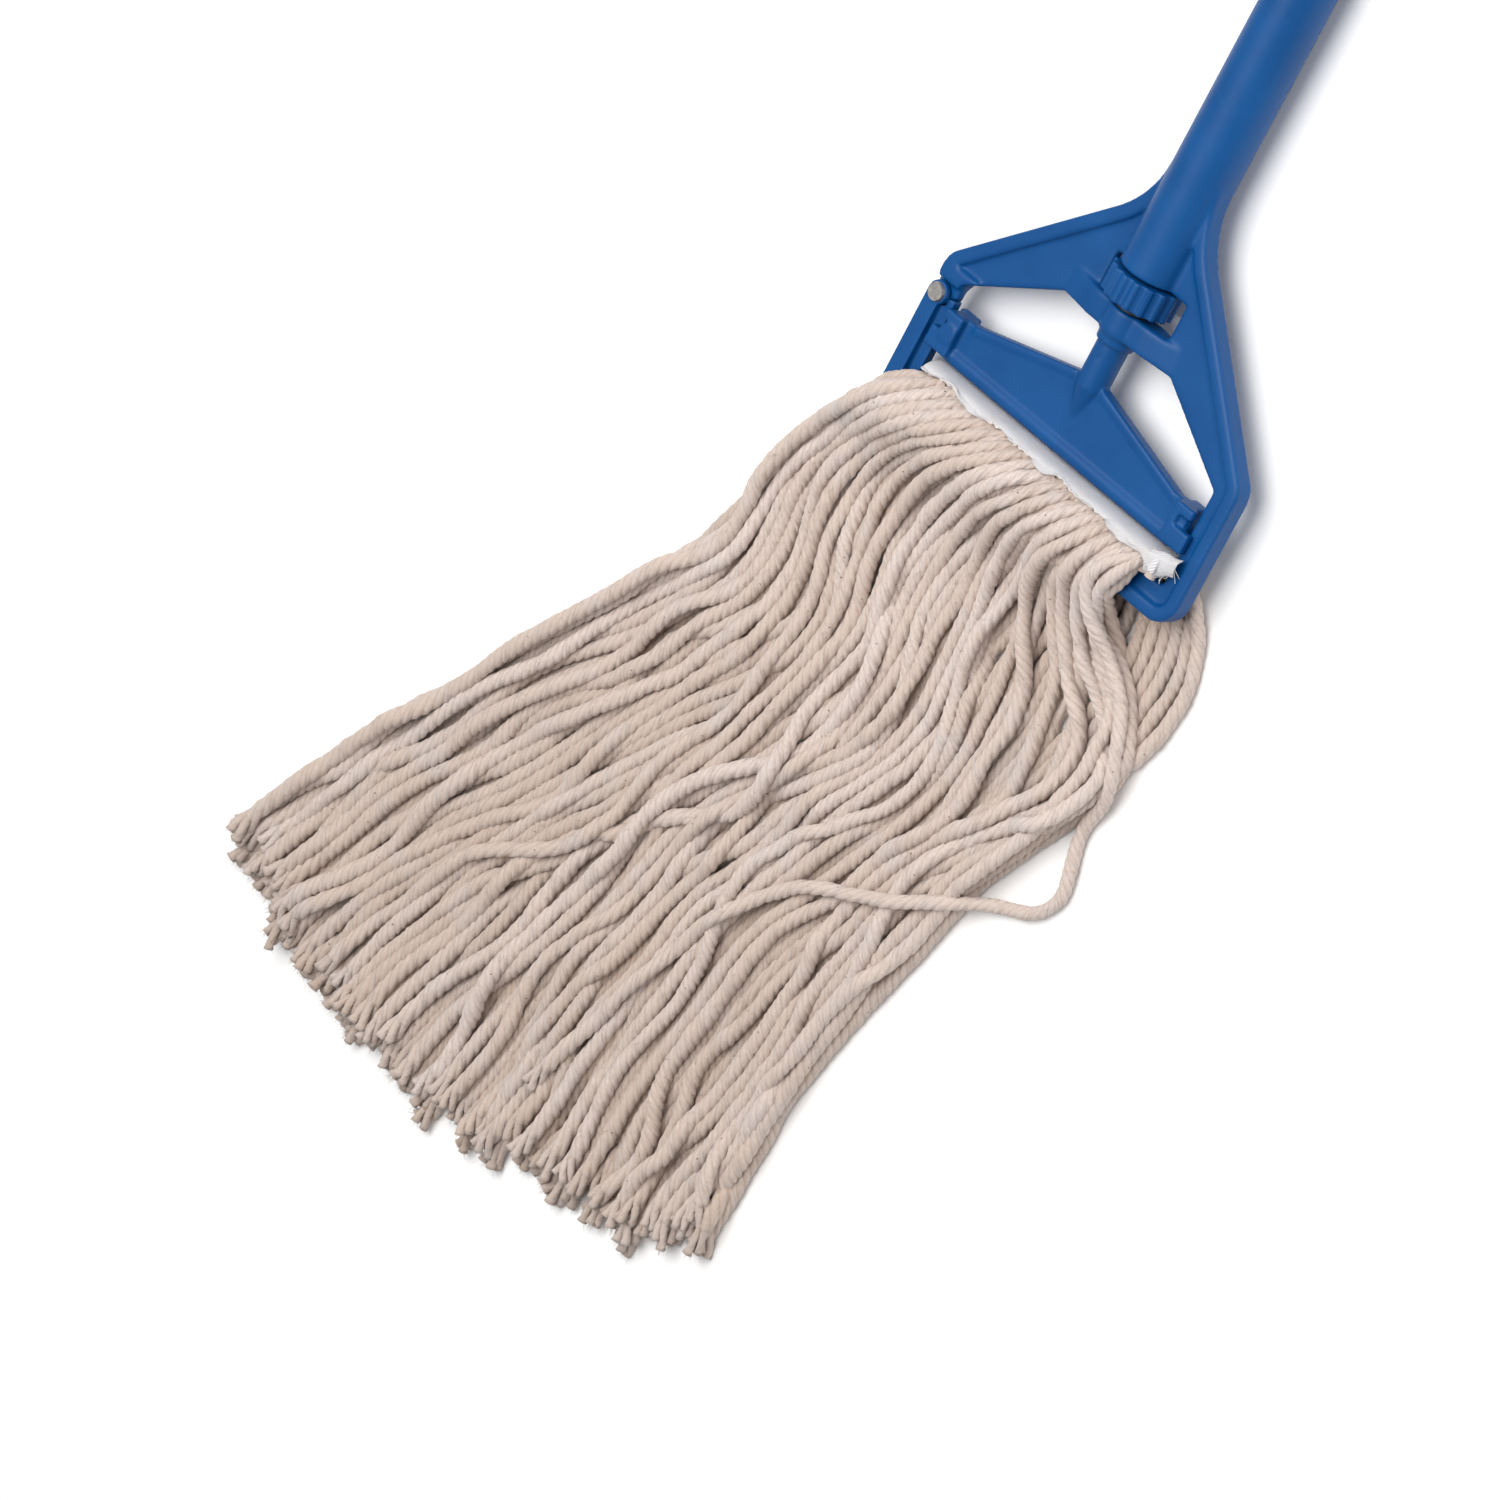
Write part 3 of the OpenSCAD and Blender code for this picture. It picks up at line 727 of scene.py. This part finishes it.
def side_hairs(batch, c, r, tint):
    """Loose fibres that stand off along a strand, most of them on its upper side."""
    t, a, b = frames_along(c)
    for i in rng.integers(4, len(c) - 4, SIDE_HAIRS):
        phi = rng.uniform(0, 2 * np.pi)
        out = np.cos(phi) * a[i] + np.sin(phi) * b[i]
        if out[2] < -0.2:
            out = -out
        along = t[i] * rng.choice([-1, 1]) + 0.6 * np.cross(t[i], out)
        along = along / np.linalg.norm(along)
        hair(batch, c[i] + out * r[i] * 0.93, along, out, rng.uniform(2.0, 5.5), tint)


def add_strand(batch, line, full_r, first_turn, pitch, tint, pile_shade=0.0):
    """One four-ply strand along the line; its last argument is painted shade, more for the strands that lie
    low in the pile.
    """
    c, s = resample(line, 1.75)
    length = s[-1]
    r = np.interp(s / length, np.linspace(0, 1, N), full_r) * (1 + 0.06 * drift(s, 7, 14))
    waver = 0.16 * np.stack([drift(s, 9, 20) for _ in range(3)], -1)
    c = c + waver * np.clip(s / 25, 0, 1)[:, None]
    slack_from = length - SOFT_MM
    loosen = np.clip((s - slack_from) / SOFT_MM, 0, 1)
    turn = first_turn - 2 * np.pi * (s - 0.38 * loosen * (s - slack_from)) / pitch
    turn += 0.09 * np.cumsum(drift(s, 30, 60))
    body = s <= length - END_MM + 3
    k = np.arange(AROUND) * 2 * np.pi / AROUND
    depth = 0.40 + 0.3 * loosen + 0.06 * np.sin(s / 19 + 5 * first_turn)
    profile = lobed(k[None, :], depth[:, None])
    profile = profile + 0.026 * rng.normal(0, 1, profile.shape)
    # painted shade in the grooves between the plies, more for strands low in the pile
    painted_shade = np.clip((0.82 - lobed(k, 0.75)) * 2.0, 0, 0.42) + 0.38 * pile_shade
    # darker towards the strand's far end
    far_darkening = 0.16 * np.clip((s[body] - 120) / 260, 0, 1)[:, None]
    tube(batch, c[body], (r * 1.06)[body], AROUND, tint, painted_shade[None, :] + far_darkening, 0, 0,
         profile=profile[body], turn=turn[body])
    loose_plies(batch, c, s, r, turn, tint, pile_shade)
    side_hairs(batch, c, r, tint)


def ride_frame(o):
    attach(o, "frame")


BIG = np.interp(share_s, RADIUS_AT, [2.1, 2.7, 3.1, 3.24, 3.48])
FRONT_PIECES, BACK_PIECES, CAD_FRONT = 6, 3, 5
groups = {}
for i in range(count - 1):
    side, pieces = ("front", FRONT_PIECES) if is_front[i] else ("back", BACK_PIECES)
    groups.setdefault((side, min(int(share_of[i] * pieces), pieces - 1)), []).append(i)
yarn_pieces = []
for side, part in sorted(groups):
    batch = Batch()
    for i in groups[side, part]:
        size = BIG * rng.uniform(0.95, 1.07)
        # painted shade: more the lower a front strand's layer, a fixed share for back strands
        pile_shade = (FRONT_LAYERS - 1 - layer_of[i]) / FRONT_LAYERS if is_front[i] else 0.6
        line = trimmed(i)
        first_turn, pitch, tint = rng.uniform(0, 6.28), rng.uniform(17.5, 23), rng.uniform(0, 1)
        add_strand(batch, line, size, first_turn, pitch, tint, pile_shade)
    o = batch.build(f"{side}_strands_{part + 1}", YARN)
    if side == "back" or part < CAD_FRONT:
        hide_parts(f"{side}_yarn_{part + 1}")
    yarn_pieces.append(o)
batch = Batch()
add_strand(batch, P[count - 1], BIG * 0.92, first_turn=1.0, pitch=20, tint=0.6)
loose = batch.build("loose_strand", YARN)
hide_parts("loose_yarn")
yarn_pieces.append(loose)
for o in yarn_pieces:
    ride_frame(o)


# ---------------------------------------------------------------- the fold of yarn in the clamp
FOLD_X = np.arange(-68, 74, 5.2)
FOLD_HALF = 6.6
batch = Batch()
for x in FOLD_X:
    x_in = x + rng.uniform(-0.4, 0.4)
    line = [[x_in, -137.0, AXIS_MM - FOLD_HALF]]
    for q in np.linspace(-0.5 * np.pi, 0.5 * np.pi, 13):
        line.append([x_in, -132.0 + 4.0 * math.cos(q), AXIS_MM + FOLD_HALF * math.sin(q)])
    line.append([x_in, -137.0, AXIS_MM + FOLD_HALF])
    c, s = resample(np.array(line), 1.5)
    k = np.arange(12) * 2 * np.pi / 12
    profile = np.tile(1 - 0.14 * (np.cos(2 * k) < 0), (len(c), 1))
    # the loops take a little painted shade all over
    tube(batch, c, np.full(len(c), 2.5), 12, 0.5, 0.1, 0, 0, cap=False, profile=profile, turn=s / 3.5)
fold = batch.build("yarn_fold_loops", YARN)
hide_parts("yarn_fold")
ride_frame(fold)


# ---------------------------------------------------------------- the woven headband
FOLD_TOP_Y = -125.1
BAND_HALF = 10.6
BAND_X = np.linspace(-70.5, 76.0, 190)
BAND_W = np.linspace(-1, 1, 49)
BAND_SKIN, FLAP_SKIN = 0.35, 0.3  # half of the tape's thickness


def band_point(x, w):
    """Place of the tape at x: w runs from 0 at the top of the fold to 1 and -1 at its lower edges."""
    wide = abs(w)
    bend = wide * 1.9
    droop = 2.5 + 5 * math.sin(x / 7.1 + 0.7) + 4 * math.sin(x / 3.7)
    droop += 26 * min(max((x - 50) / 22, 0), 1) ** 2
    y = FOLD_TOP_Y - 3.0 * (1 - math.cos(min(bend, 1.45))) - max(wide - 0.76, 0) * droop
    h = BAND_HALF * math.sin(min(bend, 1.57)) ** 0.7
    return y, math.copysign(h, w if w else -1)


def normals_of(grid):
    n = np.cross(np.gradient(grid, axis=0), np.gradient(grid, axis=1))
    return n / np.linalg.norm(n, axis=2, keepdims=True)


def grid_quads(a):
    return np.stack([a[:-1, :-1], a[1:, :-1], a[1:, 1:], a[:-1, 1:]], -1).reshape(-1, 4)


def tape_sheet(name, grid, half, uv):
    """Closed piece of tape: the grid pushed out by half its thickness both ways, with a closed rim."""
    n = normals_of(grid)
    m = grid.shape[0] * grid.shape[1]
    idx = np.arange(m).reshape(grid.shape[:2])
    rim = []
    for line, flip in ((idx[0], False), (idx[-1], True), (idx[:, 0], True), (idx[:, -1], False)):
        q = np.stack([line[:-1], line[1:], line[1:] + m, line[:-1] + m], -1)
        rim.append(q[:, ::-1] if flip else q)
    verts = np.vstack([(grid + n * half).reshape(-1, 3), (grid - n * half).reshape(-1, 3)])
    faces = np.vstack([grid_quads(idx), grid_quads(idx + m)[:, ::-1], *rim])
    flat = np.stack(np.broadcast_arrays(*uv), -1).reshape(-1, 2)
    o = mesh_object(name, place(verts), [faces], TAPE, uv=np.vstack([flat, flat]), uv_name="flat")
    ride_frame(o)
    return o


phase = rng.uniform(0, 6.28, 6)
ni, nj = len(BAND_X), len(BAND_W)
grid = np.zeros((ni, nj, 3))
for i, x in enumerate(BAND_X):
    scallop = 0.9 * math.sin(x / 5.1 + phase[0]) + 0.8 * math.sin(x / 9.7 + phase[1])
    scallop += 0.5 * math.sin(x / 2.9 + phase[2])
    bulge = 0.6 * math.cos(2 * math.pi * (x + 62) / 7.78)
    ruffle = 0.55 + 0.45 * math.sin(x / 7.4 + 1.1) + 0.25 * math.sin(x / 3.9)
    for j, w in enumerate(BAND_W):
        y, h = band_point(x, w)
        out = abs(w) ** 1.5
        wrinkle = 0.6 * math.sin(x / 3.1 + phase[3] + 2 * w) + 0.5 * math.sin(x / 1.7 + phase[4] - 3 * w)
        lip = 1.5 * max(abs(w) - 0.78, 0) / 0.22 * ruffle
        h += math.copysign((wrinkle + bulge) * out * 0.8 + lip, w) if w else 0
        y += -0.7 * scallop * out + 0.25 * wrinkle * out
        grid[i, j] = (x, y, AXIS_MM + h)
arc_w = np.concatenate([[0], np.cumsum(np.linalg.norm(np.diff(grid[ni // 2], axis=0), axis=1))])
band = tape_sheet("headband_tape", grid, BAND_SKIN, (BAND_X[:, None] / 1000, arc_w[None, :] / 1000))
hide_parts("headband")

# the tape's loose end, lying over the inside of the hook
FLAP_X, FLAP_W = np.linspace(70.0, 82.0, 26), np.linspace(0, 1, 20)
FLAP_LONG = 12.0
fi, fj = len(FLAP_X), len(FLAP_W)
flap = np.zeros((fi, fj, 3))
for i, x in enumerate(FLAP_X):
    u = (x - FLAP_X[0]) / FLAP_LONG
    for j, w in enumerate(FLAP_W):
        y = -124.4 + 1.4 * u - w * (12.4 - 4.4 * u) + 0.35 * math.sin(x / 1.3 + 3 * w)
        h = 11.8 - 4.6 * u ** 1.6 - 3.2 * (1 - min(w * 3.5, 1)) ** 2 - 4.5 * w ** 4 * (1 - 0.5 * u)
        flap[i, j] = (x, y, AXIS_MM + h + 0.3 * math.sin(x / 1.1 - 4 * w) * w)
flap_piece = tape_sheet("headband_end", flap, FLAP_SKIN, (FLAP_X[:, None] / 1000, FLAP_W[None, :] * 0.009))

# rows of stitches on both faces, and a few frayed threads at the right end
STITCH_ROWS = (0.86, 0.93, 0.14, 0.07)
STITCH_R, FRAY_R, FRAYED = 0.28, 0.1, 10
batch = Batch()
nrm = normals_of(grid)
for row in STITCH_ROWS:
    j = int(nj * row)
    for i in range(3, ni - 6, 5):
        u = np.linspace(0, 1, 7)[:, None]
        raised = nrm[i, j] * (0.25 + 0.42 * np.sin(np.pi * u))
        c = grid[i, j] * (1 - u) + grid[i + 3, j] * u + raised
        tube(batch, c, np.full(7, STITCH_R), 6, 1.0, 0, 0, 0, cap=False)
for _ in range(FRAYED):
    at_end = rng.uniform() < 0.5
    p0 = flap[-1, int(rng.integers(0, fj))] if at_end else flap[int(rng.integers(4, fi)), -1]
    u = np.linspace(0, 1, 9)[:, None]
    way = np.array([rng.uniform(-0.3, 0.8), rng.uniform(-1.0, -0.1), rng.uniform(-0.1, 0.5)])
    size = rng.uniform(1.5, 5.5)
    c = p0 + way * size * u + rng.normal(0, 0.9, 3) * u ** 2 * 2
    tube(batch, c, np.full(9, FRAY_R), 4, 1.0, 0, 0, 0, cap=False)
THREAD, nt, bsdf = new_material("thread", 0.85)
fuzz = noise(nt, coords(nt), 2.4, 3)
cream = ramp(nt, fuzz, [(0.35, (0.70, 0.66, 0.60)), (0.65, (0.85, 0.83, 0.79))])
nt.links.new(cream, bsdf.inputs["Base Color"])
bump(nt, bsdf, fuzz, 0.4, 0.0002)
stitches = batch.build("headband_stitches", THREAD)
ride_frame(stitches)


# ---------------------------------------------------------------- moulded blue parts
def evaluated(o):
    """The mesh of an object with its modifiers applied."""
    dg = bpy.context.evaluated_depsgraph_get()
    return bpy.data.meshes.new_from_object(o.evaluated_get(dg), depsgraph=dg)


def block(x0, x1, y0, y1, z0, z1):
    """Closed box in head mm, with z from the head's middle plane."""
    return prism([(x0, y0), (x1, y0), (x1, y1), (x0, y1)], z0, z1)


def prism(outline, z0, z1, axes="xyz"):
    """Closed prism in head mm: the outline in the first two axes, drawn out along the third."""
    n = len(outline)
    pts = []
    for third in (z0, z1):
        for a, b in outline:
            v = dict(zip(axes, (a, b, third)))
            pts.append((v["x"], v["y"], AXIS_MM + v["z"]))
    faces = [list(range(n))[::-1], list(range(n, 2 * n))]
    faces += [[k, (k + 1) % n, n + (k + 1) % n, n + k] for k in range(n)]
    return place(pts), faces


def circle(x, y, r, sides):
    turns = np.linspace(0, 2 * math.pi, sides, endpoint=False)
    return [(x + r * math.cos(q), y + r * math.sin(q)) for q in turns]


def solid(verts, faces):
    """Helper object for a Boolean, with its faces turned outwards."""
    me = bpy.data.meshes.new("helper")
    me.from_pydata([tuple(p) for p in verts], [], faces)
    bm = bmesh.new()
    bm.from_mesh(me)
    bmesh.ops.recalc_face_normals(bm, faces=bm.faces)
    bm.to_mesh(me)
    bm.free()
    o = bpy.data.objects.new("helper", me)
    bpy.context.scene.collection.objects.link(o)
    return o


def moulded(node_name, body, voxel, smooth, add=(), cut=()):
    """The CAD shape, cut and added to, then remeshed and smoothed: its edges round as moulded ones are."""
    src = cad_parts[node_name]
    work = bpy.data.objects.new("work", src.data.copy())
    bpy.context.scene.collection.objects.link(work)
    work.data.transform(src.matrix_world)
    helpers = []
    for how, parts in (("DIFFERENCE", cut), ("UNION", add)):
        for part in parts:
            helpers.append(solid(*part))
            boolean = work.modifiers.new(how, "BOOLEAN")
            boolean.operation = how
            boolean.solver = "EXACT"
            boolean.object = helpers[-1]
    remesh = work.modifiers.new("remesh", "REMESH")
    remesh.mode = "VOXEL"
    remesh.voxel_size = voxel
    remesh.adaptivity = 0.0
    soften = work.modifiers.new("smooth", "SMOOTH")
    soften.factor = 0.5
    soften.iterations = smooth
    me = evaluated(work)
    for h in [work, *helpers]:
        bpy.data.objects.remove(h)
    me.polygons.foreach_set("use_smooth", np.ones(len(me.polygons), bool))
    me.materials.clear()
    me.materials.append(BLUE)
    o = bpy.data.objects.new(node_name + "_moulded", me)
    bpy.context.scene.collection.objects.link(o)
    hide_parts(node_name)
    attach(o, body)


VOXEL = 0.0008
SIDES = (-1, 1)

# yoke: the bridge thins towards its ends and the post's bore is opened; the wheel window's left side
# and the foot of the hinge arm are filled
taper = [prism([(e * 13, u * 6.9), (e * 33.5, u * 2.2), (e * 33.5, u * 9), (e * 13, u * 9)],
               -67.2, -54.1, "xzy") for e in SIDES for u in SIDES]
bore = prism(circle(0, 0, 7.5, 40), -72.5, -54.8, "xzy")
window_fill = block(-24.2, -18.2, -55.2, -37.4, -2.5, 2.5)
arm_foot = block(-90.3, -78.0, -95.3, -93.0, -4.9, 4.9)
moulded("yoke_frame", "frame", VOXEL, 12, cut=[*taper, bore], add=[window_fill, arm_foot])
moulded("side_gate", "gate", VOXEL * 0.75, 7)

# clamp plate: its face is sunk between raised ribs; a plug over the screw pin, a button and two lugs
sunk = [prism([(e * 7.8, -87.4), (e * 62.4, -101.5), (e * 62.4, -107.6), (e * 7.8, -93.6)], u * 3.1, u * 9)
        for e in SIDES for u in SIDES]
pin_plug = prism(circle(0, -78, 1.7, 32), -6.9, 6.9)
button = prism(circle(-70.8, -112, 4.4, 32), 0, 7.2)
lugs = [block(e * 70.2, e * 74.4, -113.5, -107.0, -4.6, 4.6) for e in SIDES]
moulded("clamp_plate", "clamp", VOXEL * 0.8, 7, cut=sunk, add=[pin_plug, button, *lugs])
moulded("thumbwheel", "wheel", VOXEL * 0.6, 4)
moulded("hanging_cap", "frame", VOXEL, 6)


def finish_node(name, material):
    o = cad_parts[name]
    o.data.materials.clear()
    o.data.materials.append(material)
    for entry in o.material_slots:
        entry.material = material


finish_node("handle_tube", HANDLE)
for name in ("socket_rivets", "hinge_pin", "hinge_washer", "drive_screw", "screw_pin"):
    finish_node(name, STEEL)
finish_node("thrust_washers", DARK_STEEL)
finish_node("wheel_nut", BRASS)


# ---------------------------------------------------------------- floor, light and camera
def linked(name, data):
    o = bpy.data.objects.new(name, data)
    bpy.context.scene.collection.objects.link(o)
    return o


right = Vector((0.64, 0.438, -0.638)).normalized()
up = Vector((-0.56, 0.82, 0.0))
up = (up - up.dot(right) * right).normalized()
back = right.cross(up)
AWAY = 4.0
SENSOR_MM = 36
PX_PER_M, FRAME_PX = 2475.0, 1500
target = HEAD + right * -0.1792 + up * -0.224
cam_data = bpy.data.cameras.new("camera")
cam_data.sensor_width = SENSOR_MM
cam_data.lens = PX_PER_M * AWAY * SENSOR_MM / FRAME_PX
cam_data.clip_end = 60
cam = linked("camera", cam_data)
cam.matrix_world = Matrix((right, up, back)).transposed().to_4x4()
cam.location = target + back * AWAY
bpy.context.scene.camera = cam

FLOOR, nt, bsdf = new_material("floor_white", 0.65)
cloud = noise(nt, coords(nt), 0.004, 2)
nt.links.new(ramp(nt, cloud, [(0.3, grey(0.93)), (0.7, grey(0.95))]), bsdf.inputs["Base Color"])
bsdf.inputs["Specular IOR Level"].default_value = 0.1
me = bpy.data.meshes.new("floor")
me.from_pydata([(-6, -6, 0), (6, -6, 0), (6, 6, 0), (-6, 6, 0)], [], [(0, 1, 2, 3)])
me.materials.append(FLOOR)
linked("floor", me)


def area_light(name, direction, distance, size, power, colour):
    """Round soft light that looks at the camera's target from the given direction."""
    data = bpy.data.lights.new(name, "AREA")
    data.shape = "DISK"
    data.size = size
    data.energy = power
    data.color = colour
    o = linked(name, data)
    d = direction.normalized()
    o.location = target + d * distance
    o.rotation_mode = "QUATERNION"
    o.rotation_quaternion = d.to_track_quat("Z", "Y")


area_light("key", right * -0.6 + up * 0.4 + back * 0.95, 2.4, 2.3, 66, (1.0, 0.99, 0.975))
area_light("fill", right * 0.7 + up * 0.1 + back * 0.9, 3.0, 2.5, 22, (0.98, 0.99, 1.0))
world = bpy.data.worlds.new("world")
world.use_nodes = True
world.node_tree.nodes["Background"].inputs["Color"].default_value = (1, 1, 1, 1)
world.node_tree.nodes["Background"].inputs["Strength"].default_value = 0.43
bpy.context.scene.world = world
bpy.context.scene.view_settings.view_transform = "Standard"
